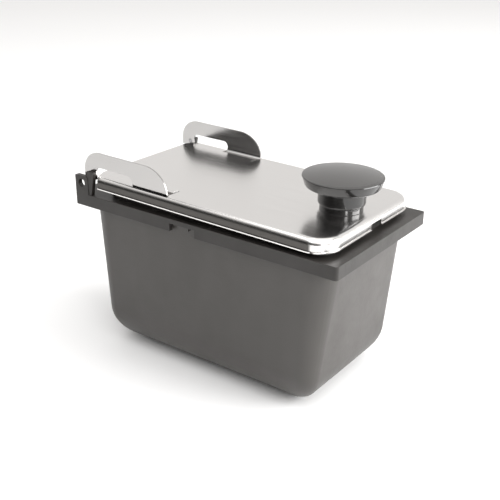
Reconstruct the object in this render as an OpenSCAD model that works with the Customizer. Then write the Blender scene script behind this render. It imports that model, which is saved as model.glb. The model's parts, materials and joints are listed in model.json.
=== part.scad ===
// Drop-in waste bin with a moulded tub, a clip-on hinge collar and a stainless hinged lid.
// The knob end faces -Y, the hinge is at +Y, and the tub stands on Z = 0.

/* [Overall] */
// Length of the collar, front to back
collar_len = 195; // [180:1:240]
// Width of the collar, side to side
collar_wid = 104; // [96:1:130]
// Height from the tub's base to the collar's top
body_height = 103; // [70:0.5:140]

/* [Tub] */
// Wall of the moulded tub
tub_wall = 2.4; // [1.8:0.1:3]
// How far each end of the tub's mouth lies inside the collar's end
tub_end_inset = 7.5; // [3.8:0.1:12]
// How far each side of the tub's mouth lies inside the collar's side
tub_side_inset = 3.7; // [3.6:0.1:8]
// How much longer the tub is at its mouth than at its base
tub_len_draft = 17.2; // [8:0.1:24]
// How much wider the tub is at its mouth than at its base
tub_wid_draft = 1.6; // [0.4:0.1:10]
// Radius along the tub's bottom edge
base_radius = 25; // [12:0.5:30]
// Radius of the tub's upright corners at its mouth
mouth_radius = 16; // [10:1:20]
// Radius of the tub's upright corners just above its bottom edge
base_corner = 10; // [6:0.1:12]
// Thickness of the rim that the collar snaps over
rim_thick = 2.4; // [1.8:0.1:3]

/* [Collar] */
// Height of the collar's skirt, top plate included
collar_height = 8; // [7:0.5:12]
// Thickness of the collar's top plate
plate_thick = 3; // [2.4:0.1:3.5]
// Thickness of the collar's skirt
skirt_thick = 3; // [2.4:0.1:3.5]
// Radius of the collar's outer corners
collar_radius = 2; // [1.5:0.5:6]
// Thickness of the upstand around the mouth
upstand_thick = 2.2; // [1.8:0.1:3]
// Depth of the ledge behind the mouth that carries the hinge noses
rear_ledge = 21.3; // [20:0.1:30]
// Length of the catch window in each long side
window_len = 19; // [12:1:19]
// Distance from the back of the collar to the middle of the catch window
window_place = 89; // [80:1:100]

/* [Hinge] */
// Diameter of the hinge pins
pin_dia = 2.5; // [2:0.1:3]
// Distance of the hinge axis from the back of the collar
pin_setback = 13.6; // [13.2:0.1:14.4]
// Height of the hinge axis above the collar's top
pin_height = 13.2; // [13:0.1:18]
// Thickness of the hinge noses and of the lug plate
lug_thick = 3.3; // [2.8:0.1:3.5]
// Diameter of the cross hole through the lug plate
lug_hole_dia = 5.4; // [3:0.1:5.6]
// Gap between a nose and the ear beside it
ear_gap = 0.4; // [0.3:0.1:1]

/* [Lid] */
// Thickness of the stainless sheet
sheet = 1; // [0.8:0.1:1.2]
// Gap between the lid's side and the collar's side, seen from above
lid_inset = 1.55; // [1.5:0.05:1.6]
// Gap between the lid's front and the collar's front, seen from above
lid_front_inset = 7.8; // [7:0.1:12]
// Height of the lid, from its top to the edge of its skirt
lid_height = 7.8; // [7:0.1:9]
// Outer radius of the bend along the lid's edges
bend_radius = 4; // [3:0.5:5]
// Radius of the lid's front corners
lid_corner = 14; // [8:1:20]
// How far the rolled lip stands out of the skirt
lip_out = 0.7; // [0.4:0.1:0.9]
// Slope of the lid, down towards its front, in degrees
lid_slope = 0.8; // [0:0.1:1]
// Width of the notch in the front skirt
notch_wid = 12; // [8:1:20]
// How far the notch lies to the right of the middle
notch_offset = 4; // [0:1:8]

/* [Ears] */
// Height of the ears above the lid's top
ear_height = 15; // [14:0.5:24]
// How far the ears reach behind the hinge axis
ear_back = 7; // [5:0.1:8.6]
// How far the ears reach in front of the hinge axis
ear_front = 61.4; // [50:0.1:66]
// Height of the slot's top above the lid's top
slot_top = 5.6; // [5:0.1:7]
// How far the slot's front end lies in front of the hinge axis
slot_front = 33.4; // [24:0.1:40]
// How far the slot's back end lies in front of the hinge axis
slot_back = 3; // [2.8:0.1:6]
// Rounding of the ears at the back
ear_back_radius = 12.5; // [6:0.5:13]
// Rounding of the ears at the front
ear_front_radius = 15; // [8:1:15]

/* [Knob] */
// Diameter of the knob's head
knob_dia = 47.6; // [40:0.1:52]
// Height of the knob's rim above the lid
knob_rim_height = 20; // [16:0.5:26]
// Rise of the knob's domed top above its rim
knob_dome = 2.6; // [1.5:0.1:4]
// Diameter of the knob's stem
stem_dia = 28; // [20:0.5:32]
// Height of the base ring under the stem
ring_height = 3.3; // [2:0.1:5]
// Distance of the knob's middle from the front of the lid
knob_setback = 21.3; // [20:0.1:40]
// Diameter of the knob's screw
screw_dia = 5; // [4:0.5:6]

/* [Hidden] */

$fn = 64;
hull_fn = 32;
cut = 1;
play = 0.3;
bite = 0.5;

back_y = collar_len / 2;
side_x = collar_wid / 2;
collar_top = body_height;
skirt_foot = collar_top - collar_height;

// the tub's rim lies under the collar's plate, inside its skirt
rim_top = collar_top - plate_thick;
rim_len = collar_len - 2 * (skirt_thick + play);
rim_wid = collar_wid - 2 * (skirt_thick + play);
tub_len = collar_len - 2 * tub_end_inset;
tub_wid = collar_wid - 2 * tub_side_inset;
base_len = tub_len - tub_len_draft;
base_wid = tub_wid - tub_wid_draft;
bowl_steps = 8;
thin = 0.01;
catch_len = 8;
catch_out = 2;

// hinge axis
pin_y = back_y - pin_setback;
pin_z = collar_top + pin_height;
pin_bore_dia = pin_dia;
nose_inset = 0.5;
ear_outer_x = side_x - lug_thick - ear_gap;
pin_inner_x = ear_outer_x - sheet;
pin_outer_x = side_x - nose_inset - 0.8;
lug_len = 12;
lug_top = 11.8;
lug_radius = 2;
lug_hole_y = back_y - 6.6;
lug_hole_z = collar_top + 7;
nose_top = pin_height + 2.3;

// lid, drawn level with its top just under the hinge axis, then sloped about that axis
lid_top = pin_z - 0.2;
lid_half = side_x - lid_inset;
lid_front = back_y - collar_len + lid_front_inset;
lid_back = pin_y - 1.2;
back_half = lid_half - 10.4;
back_corner_y = pin_y - 5.6;
lid_under = lid_top - sheet;
strip_wid = 1.65;
opening_inner = ear_outer_x - 6.5;
slit_wid = 1;
slit_inner = opening_inner - 5;
slit_y = pin_y - ear_front - 0.4;
opening_back = pin_y - slot_front + play;

// the upstand stops just short of the lid's front
front_drop = (pin_y - lid_front) * tan(lid_slope);
upstand_top = lid_under - front_drop - play;
upstand_front = lid_front + sheet + 3;
mouth_front = upstand_front + upstand_thick;
mouth_back = back_y - rear_ledge - upstand_thick;
mouth_half = tub_wid / 2 - tub_wall - 2.2;
mouth_corner = 8;

// ears
ear_top = lid_top + ear_height;
ear_play = 0.2;
ear_y0 = pin_y + ear_back;
ear_y1 = pin_y - ear_front;
ear_foot = pin_z - pin_dia / 2 - ear_play - 1.55;
ear_front_run = 1.2;
web_under = lid_under - sheet;
slot_z = lid_top + slot_top;
slot_low = ear_foot - cut;
slot_end_radius = 3.5;
slot_back_y = pin_y - slot_back;
slot_front_y = pin_y - slot_front;

// knob
knob_y = lid_front + knob_setback;
knob_r = knob_dia / 2;
stem_r = stem_dia / 2;
rim_side = 6.5;
insert_dia = screw_dia + 4;
insert_len = 12;
screw_hole = screw_dia + 0.6;
washer_dia = screw_dia * 2.4;
washer_thick = 1;
lock_dia = screw_dia * 1.8;
lock_thick = 1.2;
head_dia = screw_dia * 1.9;
head_height = 3;
socket_depth = 1.6;
socket_wid = 1.2;

black = [0.13, 0.125, 0.12];
steel = [0.80, 0.79, 0.77];
bright = [0.62, 0.62, 0.63];
brass = [0.78, 0.62, 0.30];
gloss = [0.05, 0.05, 0.05];

// a flat plate with rounded corners, centred on the origin
module round_plate(len_y, wid_x, thick, r) {
    linear_extrude(thick) round_rect(len_y, wid_x, r);
}

module round_rect(len_y, wid_x, r) {
    square([wid_x - 2 * r, len_y], center = true);
    square([wid_x, len_y - 2 * r], center = true);
    for (sx = [-1, 1], sy = [-1, 1])
        translate([sx * (wid_x / 2 - r), sy * (len_y / 2 - r)]) circle(r);
}

// a rounded rectangle given by its four sides
module round_span(x0, x1, y0, y1, r) {
    translate([(x0 + x1) / 2, (y0 + y1) / 2]) round_rect(y1 - y0, x1 - x0, r);
}

// everything on the lid, sloped about the hinge axis
module on_lid() {
    translate([0, pin_y, pin_z]) rotate([lid_slope, 0, 0]) translate([0, -pin_y, -pin_z]) children();
}

module mirrored() {
    children();
    mirror([1, 0, 0]) children();
}

// a side outline, drawn as [y, z], stood up and extruded across X from x0 to x1
module across(x0, x1) {
    translate([x0, 0, 0]) rotate([90, 0, 90]) linear_extrude(x1 - x0) children();
}

// a drafted bowl whose bottom edge and corners are rounded; inset by its wall for the inside
module bowl(inset, floor_z, top_z) {
    r = base_radius - inset;
    corner = base_corner - inset;
    hull() {
        bowl_level(top_z - thin, tub_len - 2 * inset, tub_wid - 2 * inset, mouth_radius - inset);
        for (i = [0 : bowl_steps]) {
            a = 90 * i / bowl_steps;
            in = inset + r * (1 - cos(a));
            bowl_level(floor_z + r * (1 - sin(a)), base_len - 2 * in, base_wid - 2 * in,
                       max(corner * cos(a), 1.5));
        }
    }
}

module bowl_level(z, len_y, wid_x, r) {
    translate([0, 0, z]) linear_extrude(thin) round_rect(len_y, wid_x, r, $fn = hull_fn);
}

module tub() {
    color(black) difference() {
        union() {
            bowl(0, 0, rim_top);
            translate([0, 0, rim_top - rim_thick])
                round_plate(rim_len, rim_wid, rim_thick, collar_radius - 1);
            mirrored() catch();
        }
        bowl(tub_wall, tub_wall, rim_top + cut);
    }
}

// a tooth on the rim that stands in the collar's window
module catch() {
    translate([rim_wid / 2 - cut, back_y - window_place - catch_len / 2, rim_top - rim_thick])
        cube([catch_out + cut, catch_len, rim_thick]);
}

module collar() {
    color(black) difference() {
        union() {
            translate([0, 0, skirt_foot])
                round_plate(collar_len, collar_wid, collar_height, collar_radius);
            translate([0, 0, collar_top - cut])
                linear_extrude(upstand_top - collar_top + cut)
                    round_span(-mouth_half - upstand_thick, mouth_half + upstand_thick,
                               upstand_front, mouth_back + upstand_thick, mouth_corner + upstand_thick);
            intersection() {
                union() {
                    lug_plate();
                    mirrored() nose();
                }
                translate([0, 0, skirt_foot])
                    round_plate(collar_len, collar_wid, collar_height + nose_top + cut, collar_radius);
            }
        }
        // the space for the tub's rim
        translate([0, 0, skirt_foot - cut])
            round_plate(collar_len - 2 * skirt_thick, collar_wid - 2 * skirt_thick,
                        collar_height - plate_thick + cut, collar_radius - 1);
        // the mouth
        translate([0, 0, skirt_foot - cut])
            linear_extrude(upstand_top - skirt_foot + 2 * cut)
                round_span(-mouth_half, mouth_half, mouth_front, mouth_back, mouth_corner);
        mirrored() {
            window();
            pin_bore();
        }
        lug_hole();
    }
}

// a catch window, open at the skirt's lower edge
module window() {
    translate([side_x - skirt_thick - cut, back_y - window_place - window_len / 2, skirt_foot - cut])
        cube([skirt_thick + 2 * cut, window_len, collar_height - plate_thick + cut]);
}

// the plate beside the left nose, drawn with its top corners rounded
module lug_plate() {
    r = lug_radius;
    across(-side_x, lug_thick - side_x) {
        translate([back_y - lug_len, collar_top - cut]) square([lug_len, lug_top - r + cut]);
        translate([back_y - lug_len + r, collar_top - cut]) square([lug_len - 2 * r, lug_top + cut]);
        for (y = [back_y - lug_len + r, back_y - r])
            translate([y, collar_top + lug_top - r]) circle(r);
    }
}

// a hinge nose, which leans forward and holds the pin
module nose() {
    across(side_x - lug_thick, side_x - nose_inset)
        polygon([[pin_y + 3.1, collar_top - cut], [pin_y - 0.6, collar_top - cut],
                 [pin_y - 3.7, collar_top + nose_top - 0.7], [pin_y - 3.1, collar_top + nose_top],
                 [pin_y + 2.2, collar_top + nose_top]]);
}

module lug_hole() {
    translate([-side_x - cut, lug_hole_y, lug_hole_z])
        rotate([0, 90, 0]) cylinder(d = lug_hole_dia, h = lug_thick + 2 * cut);
}

// a blind hole, so that the pin can't walk out
module pin_bore() {
    translate([side_x - lug_thick - cut, pin_y, pin_z])
        rotate([0, 90, 0]) cylinder(d = pin_bore_dia, h = pin_outer_x - side_x + lug_thick + cut);
}

module hinge_pin() {
    translate([pin_inner_x, pin_y, pin_z])
        rotate([0, 90, 0]) cylinder(d = pin_dia, h = pin_outer_x - pin_inner_x);
}

module hinge_pin_left() {
    color(bright) mirror([1, 0, 0]) hinge_pin();
}

module hinge_pin_right() {
    color(bright) hinge_pin();
}

// a lid blank: its edges rounded by r, its front corners by corner, and straight at the back
module lid_blank(half_x, front, top_z, low_z, r, corner) {
    past = lid_back + 2 * corner;
    hull() {
        for (sx = [-1, 1], y = [front + corner, past])
            translate([sx * (half_x - corner), y, low_z]) {
                cylinder(r = corner, h = top_z - low_z - r, $fn = hull_fn);
                translate([0, 0, top_z - low_z - r])
                    rotate_extrude($fn = hull_fn) {
                        square([corner - r, r]);
                        translate([corner - r, 0]) intersection() {
                            circle(r, $fn = hull_fn);
                            square(r);
                        }
                    }
            }
    }
}

module lid_cover() {
    foot = lid_top - lid_height;
    lip = sheet * 0.8;
    color(steel) on_lid() difference() {
        union() {
            lid_blank(lid_half, lid_front, lid_top, foot, bend_radius, lid_corner);
            translate([0, 0, foot]) linear_extrude(lip)
                round_span(-lid_half - lip_out, lid_half + lip_out, lid_front - lip_out,
                           lid_back + 2 * lid_corner, lid_corner + lip_out);
        }
        lid_blank(lid_half - sheet, lid_front + sheet, lid_under, foot - cut,
                  bend_radius - sheet, lid_corner - sheet);
        // everything behind the back edge, with its corners cut off beside the lugs
        translate([0, 0, foot - 2 * cut]) linear_extrude(lid_height + 4 * cut) behind_lid();
        // the notch in the front skirt
        translate([notch_offset - notch_wid / 2, lid_front - lip_out - cut, foot - cut])
            cube([notch_wid, lip_out + sheet + 2 * cut, lid_height - bend_radius + cut]);
        mirrored() side_opening();
        translate([0, knob_y, lid_under - cut]) cylinder(d = screw_hole, h = sheet + 2 * cut);
    }
}

// seen from above, what lies behind the lid
module behind_lid() {
    past = 5;
    low_y = back_corner_y - past * (lid_back - back_corner_y) / (lid_half - back_half);
    far_y = lid_back + 3 * lid_corner;
    polygon([[-lid_half - past, low_y], [-back_half, lid_back], [back_half, lid_back],
             [lid_half + past, low_y], [lid_half + past, far_y], [-lid_half - past, far_y]]);
}

// the opening that the foot of an ear stands up through, and the slit at its front
module side_opening() {
    translate([opening_inner, slit_y, lid_top - bend_radius])
        cube([lid_half - strip_wid - opening_inner, opening_back - slit_y, bend_radius + cut]);
    translate([slit_inner, slit_y, lid_under - cut])
        cube([opening_inner - slit_inner + cut, slit_wid, sheet + 2 * cut]);
}

// a strap under the lid's top whose two ends are bent up as ears
module hinge_bracket() {
    color(steel) on_lid() {
        translate([-ear_outer_x + bend_radius, ear_y1, web_under])
            cube([2 * (ear_outer_x - bend_radius), slot_front_y - ear_y1, sheet]);
        mirrored() ear();
    }
}

// an ear: a foot bent up out of the strap, and an arm that reaches back over a slot to the pin
module ear() {
    difference() {
        union() {
            intersection() {
                translate([0, slot_front_y, 0])
                    rotate([90, 0, 0]) linear_extrude(slot_front_y - ear_y1) ear_section();
                across(0, side_x) ear_outline();
            }
            across(ear_outer_x - sheet, ear_outer_x) difference() {
                ear_outline();
                translate([ear_y1 - cut, web_under - 2 * cut])
                    square([slot_front_y - bite - ear_y1 + cut, ear_top]);
            }
        }
        across(ear_outer_x - sheet - cut, side_x) slot_outline();
        translate([ear_outer_x - sheet - cut, pin_y, pin_z])
            rotate([0, 90, 0]) cylinder(d = pin_dia + 2 * ear_play, h = sheet + 2 * cut);
    }
}

// the cross section of an ear's foot: a quarter bend and an upright wall
module ear_section() {
    bend_x = ear_outer_x - bend_radius;
    translate([bend_x - bite, web_under]) square([bite, sheet]);
    translate([bend_x, web_under + bend_radius]) difference() {
        intersection() {
            circle(bend_radius);
            translate([0, -bend_radius]) square(bend_radius);
        }
        circle(bend_radius - sheet);
    }
    translate([ear_outer_x - sheet, web_under + bend_radius])
        square([sheet, ear_top - web_under - bend_radius]);
}

// the outline of an ear, drawn as [y, z]
module ear_outline() {
    rb = ear_back_radius;
    rf = ear_front_radius;
    difference() {
        translate([ear_y1, web_under - cut]) square([ear_y0 - ear_y1, ear_top - web_under + cut]);
        translate([ear_y0 - rb, ear_top - rb]) corner_cut(rb);
        translate([ear_y1 + rf * ear_front_run, ear_top - rf])
            scale([ear_front_run, 1]) mirror([1, 0]) corner_cut(rf);
        translate([slot_front_y, web_under - 2 * cut])
            square([ear_y0 - slot_front_y + cut, ear_foot - web_under + 2 * cut]);
    }
}

// what a rounded corner of radius r takes off
module corner_cut(r) {
    difference() {
        square(r + cut);
        circle(r);
    }
}

// the slot: round at its upper corners, and open down to the lid
module slot_outline() {
    r = slot_end_radius;
    translate([slot_front_y, slot_low]) square([slot_back_y - slot_front_y, slot_z - r - slot_low]);
    translate([slot_front_y + r, slot_low]) square([slot_back_y - slot_front_y - 2 * r, slot_z - slot_low]);
    for (y = [slot_front_y + r, slot_back_y - r])
        translate([y, slot_z - r]) circle(r);
}

// the axis of the knob, its foot on the lid
module on_knob() {
    on_lid() translate([0, knob_y, lid_top]) children();
}

module knob() {
    low = knob_rim_height - rim_side;
    dome_r = (knob_r * knob_r + knob_dome * knob_dome) / (2 * knob_dome);
    color(gloss) on_knob() difference() {
        rotate_extrude() {
            translate([0, ring_height]) square([stem_r, low - ring_height + cut]);
            polygon([[0, low], [stem_r, low - 0.6], [knob_r - 3.5, low], [knob_r - 1.6, low + 1.2],
                     [knob_r, knob_rim_height - 0.5], [knob_r - 0.3, knob_rim_height],
                     [0, knob_rim_height]]);
            intersection() {
                translate([0, knob_rim_height + knob_dome - dome_r]) circle(dome_r, $fn = 256);
                translate([0, knob_rim_height - cut]) square([knob_r - 0.3, knob_dome + cut]);
            }
        }
        translate([0, 0, ring_height - cut]) cylinder(d = insert_dia, h = insert_len + cut);
    }
}

module knob_base_ring() {
    color(gloss) on_knob() difference() {
        cylinder(r = stem_r - 1.2, h = ring_height);
        translate([0, 0, -cut]) cylinder(d = screw_hole, h = ring_height + 2 * cut);
    }
}

module knob_insert() {
    color(brass) on_knob() translate([0, 0, ring_height]) difference() {
        cylinder(d = insert_dia, h = insert_len);
        translate([0, 0, -cut]) cylinder(d = screw_dia, h = insert_len - 2 + cut);
    }
}

// the stack under the lid: flat washer, lock washer and screw head
module knob_screw() {
    head_top = -sheet - washer_thick - lock_thick;
    color(bright) on_knob() difference() {
        union() {
            translate([0, 0, head_top]) cylinder(d = screw_dia, h = ring_height + insert_len - 3 - head_top);
            translate([0, 0, head_top - head_height]) cylinder(d = head_dia, h = head_height);
        }
        for (a = [0, 90])
            rotate([0, 0, a])
                translate([-head_dia / 4, -socket_wid / 2, head_top - head_height - cut])
                    cube([head_dia / 2, socket_wid, socket_depth + cut]);
    }
}

module lock_washer() {
    color(bright) on_knob() translate([0, 0, -sheet - washer_thick - lock_thick]) difference() {
        cylinder(d = lock_dia, h = lock_thick);
        translate([0, 0, -cut]) cylinder(d = screw_dia + 0.2, h = lock_thick + 2 * cut);
        translate([0, -0.4, -cut]) cube([lock_dia, 0.8, lock_thick + 2 * cut]);
    }
}

module flat_washer() {
    color(bright) on_knob() translate([0, 0, -sheet - washer_thick]) difference() {
        cylinder(d = washer_dia, h = washer_thick);
        translate([0, 0, -cut]) cylinder(d = screw_dia + 0.4, h = washer_thick + 2 * cut);
    }
}

tub();
collar();
hinge_pin_left();
hinge_pin_right();
lid_cover();
hinge_bracket();
knob();
knob_base_ring();
knob_insert();
knob_screw();
lock_washer();
flat_washer();
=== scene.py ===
# %% [markdown]
# # A small drop-in bin with a stainless hinged lid
# The engineering model is loaded first and stays where it is. Each step below gives one part of it
# the rounded edges, the joints between sheets and the surface that the real product has.

# %% Load the frame
import json
import math
import bpy
from mathutils import Matrix, Vector


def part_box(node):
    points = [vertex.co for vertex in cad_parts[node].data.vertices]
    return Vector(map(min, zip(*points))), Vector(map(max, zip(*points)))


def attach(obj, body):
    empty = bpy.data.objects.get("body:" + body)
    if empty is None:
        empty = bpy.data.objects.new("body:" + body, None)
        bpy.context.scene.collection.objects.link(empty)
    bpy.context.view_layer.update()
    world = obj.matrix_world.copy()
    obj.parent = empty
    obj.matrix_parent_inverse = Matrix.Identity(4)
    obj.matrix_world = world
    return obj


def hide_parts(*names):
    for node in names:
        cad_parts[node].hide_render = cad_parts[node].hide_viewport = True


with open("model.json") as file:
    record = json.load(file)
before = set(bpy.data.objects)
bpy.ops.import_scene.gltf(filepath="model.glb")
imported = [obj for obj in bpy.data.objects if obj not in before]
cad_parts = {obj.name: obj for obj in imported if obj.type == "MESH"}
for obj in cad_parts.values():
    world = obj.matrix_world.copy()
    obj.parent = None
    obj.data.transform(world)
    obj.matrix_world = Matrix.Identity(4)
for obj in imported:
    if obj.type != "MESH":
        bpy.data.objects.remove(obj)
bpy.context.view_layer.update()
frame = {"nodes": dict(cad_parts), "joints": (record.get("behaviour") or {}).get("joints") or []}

MM = 0.001
hinge = Vector(frame["joints"][0]["pos_m"])

# %% [markdown]
# ## Hand tools
# Operators act on whatever is selected, so each step starts from a clean selection. These few
# helpers select, cut, join and soften, the way one would with the mouse.

# %% Selecting and applying
def activate(obj):
    bpy.ops.object.select_all(action="DESELECT")
    obj.select_set(True)
    bpy.context.view_layer.objects.active = obj


def in_edit(obj):
    activate(obj)
    bpy.ops.object.mode_set(mode="EDIT")


def leave_edit():
    bpy.ops.object.mode_set(mode="OBJECT")


def pick_edges(obj, wanted):
    """Selects the edges whose two ends pass the test; called in edit mode, and stays there."""
    bpy.ops.mesh.select_mode(type="EDGE")
    bpy.ops.mesh.select_all(action="DESELECT")
    leave_edit()
    mesh = obj.data
    for edge in mesh.edges:
        a, b = (mesh.vertices[i].co for i in edge.vertices)
        edge.select = wanted(a, b)
    bpy.ops.object.mode_set(mode="EDIT")


def apply_modifier(obj, kind, **settings):
    activate(obj)
    modifier = obj.modifiers.new(kind.lower(), kind)
    for key, value in settings.items():
        setattr(modifier, key, value)
    bpy.ops.object.modifier_apply(modifier=modifier.name)


def smooth(obj, angle=35):
    activate(obj)
    bpy.ops.object.shade_smooth_by_angle(angle=math.radians(angle))


def soften(obj, width, segments=3, angle=30):
    """Rounds every edge sharper than the angle, then smooths the shading between them."""
    apply_modifier(obj, "BEVEL", width=width, segments=segments, limit_method="ANGLE",
                   angle_limit=math.radians(angle), harden_normals=False)
    smooth(obj)
    apply_modifier(obj, "WEIGHTED_NORMAL", keep_sharp=True, weight=60)


def block(name, low, high):
    """A box between two corners, with its place in its mesh."""
    low, high = Vector(low), Vector(high)
    bpy.ops.mesh.primitive_cube_add(size=1, location=(low + high) / 2)
    obj = bpy.context.active_object
    obj.name = name
    obj.scale = high - low
    bpy.ops.object.transform_apply(location=True, rotation=True, scale=True)
    return obj


def combine(obj, other, operation):
    apply_modifier(obj, "BOOLEAN", object=other, operation=operation, solver="EXACT")
    bpy.data.objects.remove(other)


def both_sides(low, high):
    """The same box on the right and on the left."""
    (x0, y0, z0), (x1, y1, z1) = low, high
    return [((x0, y0, z0), (x1, y1, z1)), ((-x1, y0, z0), (-x0, y1, z1))]


# %% [markdown]
# ## Copies of machined parts
# Parts such as the collar have bores and notches that are already exact in the engineering model.
# A merged copy keeps them, and only needs the small edge radius that a mould or a file leaves.

# %% Copy a node
def copy_node(node, name):
    obj = bpy.data.objects.new(name, frame["nodes"][node].data.copy())
    bpy.context.scene.collection.objects.link(obj)
    obj.data.materials.clear()
    in_edit(obj)
    bpy.ops.mesh.select_all(action="SELECT")
    bpy.ops.mesh.customdata_custom_splitnormals_clear()
    bpy.ops.mesh.remove_doubles(threshold=0.002 * MM)
    bpy.ops.mesh.dissolve_limited(angle_limit=math.radians(0.3))
    leave_edit()
    return obj


def finish_piece(obj, body, slot, material, *nodes):
    """Gives a piece its material and its body, and hides the nodes that it stands for."""
    obj.data.materials.clear()
    obj.data.materials.append(material)
    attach(obj, body)
    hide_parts(*nodes)
    print(obj.name, len(obj.data.polygons), "faces")


# %% [markdown]
# ## Finishes
# Each finish is one function that builds nodes on Object coordinates, so a pattern has its real
# size and stays put when a part moves. Object coordinates are in metres, so a scale of 1000 makes
# grains about a millimetre across.

# %% Node helpers
def new_material(name):
    material = bpy.data.materials.new(name)
    material.use_nodes = True
    nodes = material.node_tree.nodes
    nodes.clear()
    output = nodes.new("ShaderNodeOutputMaterial")
    shader = nodes.new("ShaderNodeBsdfPrincipled")
    material.node_tree.links.new(shader.outputs["BSDF"], output.inputs["Surface"])
    return material, material.node_tree, shader


def noise(tree, scale, detail=4.0, stretch=(1, 1, 1), roughness=0.6, turn=(0, 0, 0)):
    """Noise on Object coordinates. A stretch of 40 on an axis makes its streaks 40 times finer."""
    coords = tree.nodes.new("ShaderNodeTexCoord")
    mapping = tree.nodes.new("ShaderNodeMapping")
    mapping.inputs["Scale"].default_value = stretch
    mapping.inputs["Rotation"].default_value = turn
    texture = tree.nodes.new("ShaderNodeTexNoise")
    texture.inputs["Scale"].default_value = scale
    texture.inputs["Detail"].default_value = detail
    texture.inputs["Roughness"].default_value = roughness
    tree.links.new(coords.outputs["Object"], mapping.inputs["Vector"])
    tree.links.new(mapping.outputs["Vector"], texture.inputs["Vector"])
    return texture.outputs["Fac"]


def spread(tree, value, low, high, start=0.3, end=0.7):
    """Maps the middle of a noise's range to low..high."""
    node = tree.nodes.new("ShaderNodeMapRange")
    node.inputs["From Min"].default_value = start
    node.inputs["From Max"].default_value = end
    node.inputs["To Min"].default_value = low
    node.inputs["To Max"].default_value = high
    tree.links.new(value, node.inputs["Value"])
    return node.outputs["Result"]


def arithmetic(tree, operation, a, b):
    node = tree.nodes.new("ShaderNodeMath")
    node.operation = operation
    for socket, value in zip(node.inputs, (a, b)):
        if isinstance(value, (int, float)):
            socket.default_value = value
        else:
            tree.links.new(value, socket)
    return node.outputs["Value"]


def mix_colour(tree, factor, dark, light):
    node = tree.nodes.new("ShaderNodeMix")
    node.data_type = "RGBA"
    node.inputs[6].default_value = (*dark, 1)
    node.inputs[7].default_value = (*light, 1)
    tree.links.new(factor, node.inputs[0])
    return node.outputs[2]


def bump(tree, shader, height, strength, distance):
    node = tree.nodes.new("ShaderNodeBump")
    node.inputs["Strength"].default_value = strength
    node.inputs["Distance"].default_value = distance
    tree.links.new(height, node.inputs["Height"])
    tree.links.new(node.outputs["Normal"], shader.inputs["Normal"])


# %% [markdown]
# ### Moulded plastic
# Satin ABS is never one flat colour: the melt leaves faint flow marks, the tool leaves a fine
# sparkle, and handling leaves patches that shine a little more.

# %% Moulded plastic
def moulded_plastic(name, dark, light, rough, sparkle=0.12):
    material, tree, shader = new_material(name)
    flow = noise(tree, 22, detail=3, stretch=(1, 1, 0.35))
    patches = noise(tree, 60, detail=5)
    grain = noise(tree, 2600, detail=2)
    scuffs = noise(tree, 90, detail=6, stretch=(14, 1, 3), turn=(0.3, 0.2, 0.5))
    flow_share = arithmetic(tree, "MULTIPLY", flow, 0.7)
    grain_share = arithmetic(tree, "MULTIPLY", grain, 0.3)
    tint = arithmetic(tree, "ADD", flow_share, grain_share)
    colour = mix_colour(tree, spread(tree, tint, 0, 1, 0.35, 0.65), dark, light)
    tree.links.new(colour, shader.inputs["Base Color"])
    wear = arithmetic(tree, "ADD", spread(tree, patches, -0.05, 0.05), spread(tree, scuffs, -0.03, 0.04))
    tree.links.new(arithmetic(tree, "ADD", wear, rough), shader.inputs["Roughness"])
    shader.inputs["IOR"].default_value = 1.52
    shader.inputs["Specular IOR Level"].default_value = 0.5
    bump(tree, shader, grain, sparkle, 0.08 * MM)
    return material


# %% [markdown]
# ### Brushed stainless
# A very fine abrasive belt has run along the lid, so the scratches are long in Y and hair-thin
# across. The finish is nearly a mirror: the scratches show in the roughness, in a slight change
# of tint and as a very shallow relief, and fingers have left cloudy patches. In a dim room the
# lid's upright long sides mirror something dark, which a pale studio floor can't give. So below the
# bend, and down to the lip, they get a darker and duller colour that stands in for that reflection.

# %% Brushed stainless
def brushed_steel(name, tone=0.80, rough=0.20, relief=0.04, painted_reflection_from=None):
    """Where |x| passes the given start, and short of the lip, the colour darkens as a painted reflection of
    a dark room, and the steel is rougher.
    """
    material, tree, shader = new_material(name)
    lines = noise(tree, 26, detail=6, stretch=(95, 1, 95), roughness=0.7)
    long_lines = noise(tree, 9, detail=3, stretch=(160, 1, 160))
    smears = noise(tree, 28, detail=4, stretch=(1, 0.7, 1))
    both = arithmetic(tree, "MULTIPLY", arithmetic(tree, "ADD", lines, long_lines), 0.5)
    dark = (tone * 0.975, tone * 0.955, tone * 0.94)
    light = (tone * 1.025, tone * 1.008, tone * 0.992)
    colour = mix_colour(tree, spread(tree, both, 0, 1, 0.4, 0.6), dark, light)
    scratches = spread(tree, both, -0.03, 0.04, 0.38, 0.62)
    wear = arithmetic(tree, "ADD", scratches, spread(tree, smears, -0.02, 0.04))
    if painted_reflection_from is not None:
        fade_width = 0.4 * MM
        lip_start = painted_reflection_from + 0.75 * MM
        lip_end = painted_reflection_from + 0.85 * MM
        coords = tree.nodes.new("ShaderNodeTexCoord")
        split = tree.nodes.new("ShaderNodeSeparateXYZ")
        tree.links.new(coords.outputs["Object"], split.inputs["Vector"])
        across = arithmetic(tree, "ABSOLUTE", split.outputs["X"], 0)
        side = spread(tree, across, 0, 1, painted_reflection_from, painted_reflection_from + fade_width)
        not_lip = spread(tree, across, 1, 0, lip_start, lip_end)
        painted_reflection_and_dull = arithmetic(tree, "MULTIPLY", side, not_lip)
        # Painted reflection: the sides' colour is mixed towards this dark grey, which stands in for a dark
        # room mirrored in them.
        fade = tree.nodes.new("ShaderNodeMix")
        fade.data_type = "RGBA"
        fade.inputs[7].default_value = (0.10, 0.095, 0.090, 1)
        tree.links.new(painted_reflection_and_dull, fade.inputs[0])
        tree.links.new(colour, fade.inputs[6])
        colour = fade.outputs[2]
        wear = arithmetic(tree, "ADD", wear, arithmetic(tree, "MULTIPLY", painted_reflection_and_dull, 0.12))
    tree.links.new(colour, shader.inputs["Base Color"])
    tree.links.new(arithmetic(tree, "ADD", wear, rough), shader.inputs["Roughness"])
    shader.inputs["Metallic"].default_value = 1.0
    bump(tree, shader, both, relief, 0.02 * MM)
    return material
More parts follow.
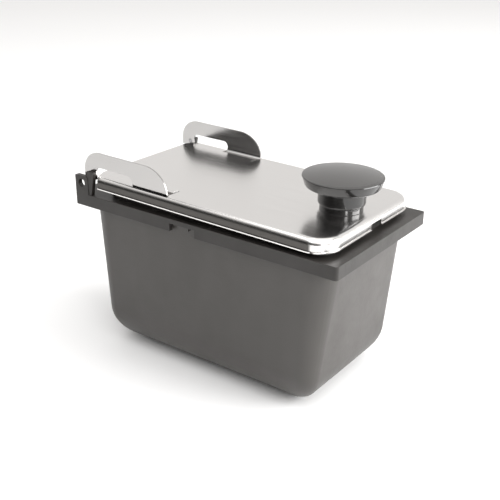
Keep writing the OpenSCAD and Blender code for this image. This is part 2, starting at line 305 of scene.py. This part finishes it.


# %% [markdown]
# ### Polished phenolic
# The knob is taken as a thermoset moulding: black and glassy on its stem, and satin on its crown,
# where a palm rests. The crown's colour is also lighter and mottled, a painted sheen. The change
# follows the height on the knob.

# %% Polished phenolic
def polished_black(name, satin_from, satin_to):
    material, tree, shader = new_material(name)
    coords = tree.nodes.new("ShaderNodeTexCoord")
    split = tree.nodes.new("ShaderNodeSeparateXYZ")
    tree.links.new(coords.outputs["Object"], split.inputs["Vector"])
    crown = spread(tree, split.outputs["Z"], 0, 1, satin_from, satin_to)
    cloud = noise(tree, 120, detail=5)
    rub = noise(tree, 300, detail=4, stretch=(1, 6, 1), turn=(0, 0, 0.6))
    # Painted sheen: the crown's colour is raised from near black to a mottled dark grey, which stands in
    # for the bright reflection on the crown.
    crown_painted_sheen = arithmetic(tree, "MULTIPLY", crown, spread(tree, cloud, 0.85, 1.0))
    colour = mix_colour(tree, crown_painted_sheen, (0.010, 0.0095, 0.009), (0.050, 0.048, 0.046))
    tree.links.new(colour, shader.inputs["Base Color"])
    gloss = arithmetic(tree, "ADD", spread(tree, cloud, 0.06, 0.10), spread(tree, rub, 0.0, 0.03))
    satin = arithmetic(tree, "MULTIPLY", crown, 0.24)
    tree.links.new(arithmetic(tree, "ADD", gloss, satin), shader.inputs["Roughness"])
    shader.inputs["IOR"].default_value = 1.66
    shader.inputs["Sheen Weight"].default_value = 0.15
    shader.inputs["Sheen Roughness"].default_value = 0.4
    bump(tree, shader, rub, 0.04, 0.02 * MM)
    return material


# %% [markdown]
# ### Turned and plated hardware
# The screw, washers, pins and insert are small, so a fine turned grain and a little tarnish are
# enough.

# %% Turned metal
def turned_metal(name, dark, light, rough):
    material, tree, shader = new_material(name)
    turned = noise(tree, 700, detail=3, stretch=(1, 1, 5))
    tarnish = noise(tree, 260, detail=5)
    tree.links.new(mix_colour(tree, spread(tree, tarnish, 0, 1), dark, light), shader.inputs["Base Color"])
    tree.links.new(spread(tree, turned, rough - 0.06, rough + 0.08), shader.inputs["Roughness"])
    shader.inputs["Metallic"].default_value = 1.0
    bump(tree, shader, turned, 0.15, 0.03 * MM)
    return material


# %% All the finishes
# The lid's painted reflection of a dark room on its long sides starts just inside its widest point.
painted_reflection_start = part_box("lid_cover")[1].x - 1.3 * MM
tub_plastic = moulded_plastic("tub_satin_plastic", (0.050, 0.046, 0.042), (0.065, 0.060, 0.056), 0.42)
collar_plastic = moulded_plastic("collar_satin_plastic", (0.017, 0.015, 0.013), (0.026, 0.023, 0.021), 0.44)
lid_steel = brushed_steel("lid_brushed_steel", painted_reflection_from=painted_reflection_start)
bracket_steel = brushed_steel("bracket_brushed_steel", tone=0.50, rough=0.17)
plated = turned_metal("plated_steel", (0.42, 0.42, 0.43), (0.62, 0.62, 0.62), 0.28)
brass = turned_metal("turned_brass", (0.62, 0.45, 0.19), (0.80, 0.62, 0.30), 0.30)

# %% [markdown]
# ## The tub
# A drafted tub is a hull around a stack of outlines. One outline lies at the mouth, and the rest
# follow the quarter round of the bottom edge, with corners that tighten on the way down. A second,
# smaller hull cut out of it leaves an even wall.

# %% Tub skin
tub_wall = 2.4 * MM
tub_low, tub_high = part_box("tub")
rim_thick = 2.4 * MM
mouth_half = Vector((96.6, 180.0)) / 2 * MM
base_half = mouth_half - Vector((1.6, 17.2)) / 2 * MM
base_radius = 25 * MM
base_corner = 10 * MM
mouth_radius = 16 * MM


def outline(half, radius, z, parts):
    """Four rings at the corners of a rounded rectangle."""
    for sx in (-1, 1):
        for sy in (-1, 1):
            place = (sx * (half.x - radius), sy * (half.y - radius), z)
            bpy.ops.mesh.primitive_circle_add(vertices=64, radius=radius, location=place)
            parts.append(bpy.context.active_object)


def bowl(name, inset, top):
    """The tub's skin, inset all round by a wall."""
    parts = []
    edge = base_radius - inset
    outline(mouth_half - Vector((inset, inset)), mouth_radius - inset, top, parts)
    for step in range(13):
        turn = math.radians(7.5 * step)
        more = inset + edge * (1 - math.cos(turn))
        corner = max((base_corner - inset) * math.cos(turn), 1.5 * MM)
        outline(base_half - Vector((more, more)), corner, inset + edge * (1 - math.sin(turn)), parts)
    bpy.ops.object.select_all(action="DESELECT")
    for part in parts:
        part.select_set(True)
    bpy.context.view_layer.objects.active = parts[0]
    bpy.ops.object.join()
    obj = bpy.context.active_object
    obj.name = name
    bpy.ops.object.transform_apply(location=True, rotation=True, scale=True)
    bpy.ops.object.mode_set(mode="EDIT")
    bpy.ops.mesh.select_all(action="SELECT")
    bpy.ops.mesh.convex_hull(delete_unused=True, join_triangles=True, face_threshold=math.radians(1),
                             shape_threshold=math.radians(1))
    bpy.ops.mesh.select_all(action="SELECT")
    bpy.ops.mesh.dissolve_limited(angle_limit=math.radians(0.2))
    leave_edit()
    return obj


tub = bowl("tub_shell", 0, tub_high.z)
rim = block("rim", (tub_low.x + 2 * MM, tub_low.y, tub_high.z - rim_thick),
            (tub_high.x - 2 * MM, tub_high.y, tub_high.z))
in_edit(rim)
pick_edges(rim, lambda a, b: abs(a.z - b.z) > MM)
bpy.ops.mesh.bevel(offset=MM, segments=4, affect="EDGES")
leave_edit()
combine(tub, rim, "UNION")
catch_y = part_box("collar")[1].y - 89 * MM
for low, high in both_sides((tub_high.x - 3 * MM, catch_y - 4 * MM, tub_high.z - rim_thick),
                            (tub_high.x, catch_y + 4 * MM, tub_high.z)):
    combine(tub, block("catch", low, high), "UNION")
combine(tub, bowl("inside", tub_wall, tub_high.z + MM), "DIFFERENCE")
soften(tub, 0.35 * MM, segments=2, angle=50)
finish_piece(tub, "bin", "tub_plastic", tub_plastic, "tub")

# %% [markdown]
# ## The collar
# One moulding with a ledge, a skirt, an upstand, two noses that hold the hinge pins and, on the
# left only, a lug plate with a cross hole. Its bores matter, so it is a softened copy.

# %% Collar
collar = copy_node("collar", "collar_moulding")
soften(collar, 0.45 * MM, segments=3)
finish_piece(collar, "bin", "collar_plastic", collar_plastic, "collar")

# %% [markdown]
# ## The lid
# A deep-drawn pan: the front corners are wide bends, the top edge is a tight one, and a small lip
# is rolled outwards at the foot. It is drawn level and then sloped about the hinge axis.

# %% Lid pan
slope = math.radians(0.8)
sheet = 1.0 * MM
lip_out = 0.7 * MM
lid_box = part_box("lid_cover")
collar_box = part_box("collar")
lid_half = lid_box[1].x - lip_out
lid_front = collar_box[0].y + 7.8 * MM
lid_back = hinge.y - 1.2 * MM
lid_top = hinge.z - 0.2 * MM
lid_foot = lid_top - 7.8 * MM
bend_radius = 4 * MM
corner_radius = 14 * MM
past_back = lid_back + 20 * MM


def front_corners(obj, radius, segments=20):
    """Rounds the upright edges at the front."""
    in_edit(obj)
    pick_edges(obj, lambda a, b: abs(a.z - b.z) > 0.5 * MM and a.y < lid_back - 50 * MM)
    bpy.ops.mesh.bevel(offset=radius, segments=segments, affect="EDGES")
    leave_edit()


def pan(name, inset):
    """The lid's outer or inner skin as a solid."""
    low = (-lid_half + inset, lid_front + inset, lid_foot - (inset > 0) * MM)
    high = (lid_half - inset, past_back, lid_top - inset)
    obj = block(name, low, high)
    front_corners(obj, corner_radius - inset)
    in_edit(obj)
    pick_edges(obj, lambda a, b: min(a.z, b.z) > lid_top - inset - 0.01 * MM)
    bpy.ops.mesh.bevel(offset=bend_radius - inset, segments=10, affect="EDGES")
    leave_edit()
    return obj


lid = pan("lid_pan", 0)
lip = block("lip", (-lid_half - lip_out, lid_front - lip_out, lid_foot),
            (lid_half + lip_out, past_back, lid_foot + 0.8 * sheet))
front_corners(lip, corner_radius + lip_out)
combine(lid, lip, "UNION")
combine(lid, pan("inside", sheet), "DIFFERENCE")

# %% [markdown]
# ## Openings in the lid
# The back is cut off square, and its corners slant forward beside the lugs. Each side has an
# opening that the foot of an ear stands up through, with a fine relief slit at its front end, and
# the front skirt has a small notch.

# %% Lid openings
back_cutter = block("cutter", (-0.1, lid_back, lid_foot - 5 * MM), (0.1, past_back + MM, lid_top + 5 * MM))
combine(lid, back_cutter, "DIFFERENCE")
corner_across = 10.4 * MM
corner_along = 4.4 * MM
slant = math.atan2(corner_along, corner_across)
for side in (-1, 1):
    corner_cutter = block("cutter", (0, 0, lid_foot - 5 * MM), (50 * MM, 20 * MM, lid_top + 5 * MM))
    corner_start = Matrix.Translation((lid_half - corner_across, lid_back, 0))
    corner_cutter.data.transform(corner_start @ Matrix.Rotation(-slant, 4, "Z"))
    if side < 0:
        corner_cutter.data.transform(Matrix.Scale(-1, 4, (1, 0, 0)))
        corner_cutter.data.flip_normals()
    combine(lid, corner_cutter, "DIFFERENCE")
strip_inner = lid_half - 1.65 * MM
ear_x = hinge.x + 48.3 * MM
opening_inner = ear_x - 6.5 * MM
opening_front = collar_box[1].y - 75.4 * MM
opening_back = collar_box[1].y - 46.7 * MM
ear_openings = both_sides((opening_inner, opening_front, lid_top - bend_radius),
                          (strip_inner, opening_back, lid_top + MM))
relief_slits = both_sides((opening_inner - 5 * MM, opening_front, lid_top - 2 * sheet),
                          (opening_inner + MM, opening_front + MM, lid_top + MM))
front_notch = ((-2 * MM, lid_front - 2 * MM, lid_foot - MM),
               (10 * MM, lid_front + 2 * sheet, lid_top - bend_radius))
for low, high in ear_openings + relief_slits + [front_notch]:
    combine(lid, block("cutter", low, high), "DIFFERENCE")
knob_place = Vector((0, lid_front + 21.3 * MM, lid_top))
bpy.ops.mesh.primitive_cylinder_add(vertices=48, radius=2.8 * MM, depth=6 * MM, location=knob_place)
combine(lid, bpy.context.active_object, "DIFFERENCE")
soften(lid, 0.14 * MM, segments=2, angle=45)


def slope_down(obj):
    """Turns a level piece about the hinge axis, and leaves its object at the origin."""
    turn = Matrix.Translation(hinge) @ Matrix.Rotation(slope, 4, "X") @ Matrix.Translation(-hinge)
    obj.data.transform(turn)
    obj.data.update()


slope_down(lid)
finish_piece(lid, "lid", "stainless", lid_steel, "lid_cover")

# %% [markdown]
# ## The hinge bracket
# A strap under the lid whose two ends are bent up. Its slots, bends and pin holes are exact already.

# %% Bracket
bracket = copy_node("hinge_bracket", "hinge_bracket_strap")
soften(bracket, 0.14 * MM, segments=2, angle=40)
finish_piece(bracket, "lid", "stainless", bracket_steel, "hinge_bracket")

# %% [markdown]
# ## The knob
# A turned shape: start from a disc, then extrude, move and scale one ring after another. The crown
# is a shallow dome, and the rings along it follow a circle.

# %% Turning helper
def turn_shape(name, profile, vertices=128):
    """Builds a closed turned solid from (radius, height) pairs, standing on the knob's place."""
    radius, height = profile[0]
    bpy.ops.mesh.primitive_circle_add(vertices=vertices, radius=radius, fill_type="NGON",
                                      location=knob_place + Vector((0, 0, height)))
    obj = bpy.context.active_object
    obj.name = name
    bpy.ops.object.transform_apply(location=True, rotation=True, scale=True)
    bpy.ops.object.mode_set(mode="EDIT")
    bpy.ops.mesh.select_all(action="SELECT")
    for next_radius, next_height in profile[1:]:
        bpy.ops.mesh.extrude_region_move(TRANSFORM_OT_translate={"value": (0, 0, next_height - height)})
        bpy.ops.transform.resize(value=(next_radius / radius,) * 2 + (1,),
                                 center_override=knob_place + Vector((0, 0, next_height)))
        radius, height = next_radius, next_height
    bpy.ops.mesh.select_all(action="SELECT")
    bpy.ops.mesh.normals_make_consistent(inside=False)
    leave_edit()
    return obj


# %% Knob
rim_radius = 23.8
rim_height = 20.0
dome = 2.6
ring_top = 3.3
under = rim_height - 6.5
dome_curve = (rim_radius ** 2 + dome ** 2) / (2 * dome)
crown_radii = [rim_radius - 0.25 - i * 1.47 for i in range(17)]
crown = [(r, rim_height + dome - dome_curve + math.sqrt(dome_curve ** 2 - r ** 2)) for r in crown_radii]
stem_radius = 14.0
neck_radius = 2.6
neck = [(stem_radius + neck_radius * (1 - math.cos(t)), under - neck_radius + neck_radius * math.sin(t))
        for t in (math.radians(15 * i) for i in range(1, 7))]
knob_profile = ([(12.6, ring_top), (13.2, ring_top + 0.12), (13.7, ring_top + 0.5), (13.95, ring_top + 1.1),
                 (stem_radius, ring_top + 2.0), (stem_radius, under - neck_radius)] + neck
                + [(19.9, under + 0.1), (20.9, under + 0.35), (21.7, under + 0.8), (22.2, under + 1.5),
                   (23.6, rim_height - 0.7), (23.75, rim_height - 0.35)] + crown)
knob_foot = knob_place.z - 2.4 * MM
knob_black = polished_black("knob_phenolic", knob_foot + (rim_height - 0.2) * MM,
                            knob_foot + (rim_height + 0.8) * MM)
knob = turn_shape("knob_head", [(r * MM, h * MM) for r, h in knob_profile])
bpy.ops.mesh.primitive_cylinder_add(vertices=48, radius=4.5 * MM, depth=24 * MM,
                                    location=knob_place + Vector((0, 0, ring_top * MM)))
combine(knob, bpy.context.active_object, "DIFFERENCE")
smooth(knob, 40)
slope_down(knob)
finish_piece(knob, "lid", "phenolic", knob_black, "knob")

# %% Knob hardware
for node, material, slot, edge in (
    ("knob_base_ring", knob_black, "phenolic", 0.35),
    ("knob_insert", brass, "brass", 0.3),
    ("knob_screw", plated, "plated_steel", 0.3),
    ("lock_washer", plated, "plated_steel", 0.15),
    ("flat_washer", plated, "plated_steel", 0.15),
):
    piece = copy_node(node, node + "_finished")
    soften(piece, edge * MM, segments=3)
    finish_piece(piece, "lid", slot, material, node)
for node in ("hinge_pin_left", "hinge_pin_right"):
    piece = copy_node(node, node + "_finished")
    soften(piece, 0.25 * MM, segments=3)
    finish_piece(piece, "bin", "plated_steel", plated, node)

# %% [markdown]
# ## Studio
# A pale sweep, a large soft light from the front right, a small one like a window in front, a wide
# one overhead, and a room that is bright on the right and dark low on the left, which is what a
# brushed lid needs to reflect.

# %% Floor
bpy.ops.mesh.primitive_plane_add(size=24, location=(0, 0, 0))
floor = bpy.context.active_object
floor.name = "floor"
floor_material, floor_tree, floor_shader = new_material("floor_pale")
floor_shader.inputs["Base Color"].default_value = (0.95, 0.95, 0.95, 1)
floor_shader.inputs["Roughness"].default_value = 0.9
floor.data.materials.append(floor_material)

# %% World and lights
world = bpy.data.worlds.new("room")
bpy.context.scene.world = world
world.use_nodes = True
room = world.node_tree
background = room.nodes["Background"]
background.inputs["Color"].default_value = (1.0, 0.985, 0.97, 1)
room_coords = room.nodes.new("ShaderNodeTexCoord")
towards_left = room.nodes.new("ShaderNodeVectorMath")
towards_left.operation = "DOT_PRODUCT"
towards_left.inputs[1].default_value = (-0.93, 0.20, -0.45)
room.links.new(room_coords.outputs["Generated"], towards_left.inputs[0])
bright, dim = 0.85, 0.06
strength = spread(room, towards_left.outputs["Value"], bright, dim, 0.15, 0.55)
room.links.new(strength, background.inputs["Strength"])


def soft_light(name, place, aim, size, power):
    data = bpy.data.lights.new(name, "AREA")
    data.shape = "RECTANGLE"
    data.size, data.size_y = size
    data.energy = power
    light = bpy.data.objects.new(name, data)
    bpy.context.scene.collection.objects.link(light)
    light.location = place
    light.rotation_euler = (Vector(aim) - Vector(place)).to_track_quat("-Z", "Y").to_euler()
    return light


soft_light("key_front_right", (0.55, -1.25, 0.55), (0, 0, 0.06), (1.1, 0.9), 26)
soft_light("window_front", (-0.62, -1.05, 0.42), (0, 0, 0.11), (0.22, 0.26), 2.5)
soft_light("overhead", (-0.30, -0.25, 1.35), (0, 0, 0.1), (2.0, 2.0), 15)

# %% Camera
camera_aim = Vector((-23.3, -20.6, 83.1)) * MM
camera_distance = 513.2 * MM
azimuth = math.radians(-54.1)
elevation = math.radians(23.47)
roll = math.radians(0.58)
level = math.cos(elevation)
back = Vector((math.sin(azimuth) * level, -math.cos(azimuth) * level, math.sin(elevation)))
camera_data = bpy.data.cameras.new("camera")
camera_data.sensor_width = 36
camera_data.lens = 61.5
camera = bpy.data.objects.new("camera", camera_data)
bpy.context.scene.collection.objects.link(camera)
camera.location = camera_aim + camera_distance * back
camera_turn = (-back).to_track_quat("-Z", "Y").to_matrix() @ Matrix.Rotation(roll, 3, "Z")
camera.rotation_euler = camera_turn.to_euler()
bpy.context.scene.camera = camera
bpy.context.scene.view_settings.view_transform = "Standard"
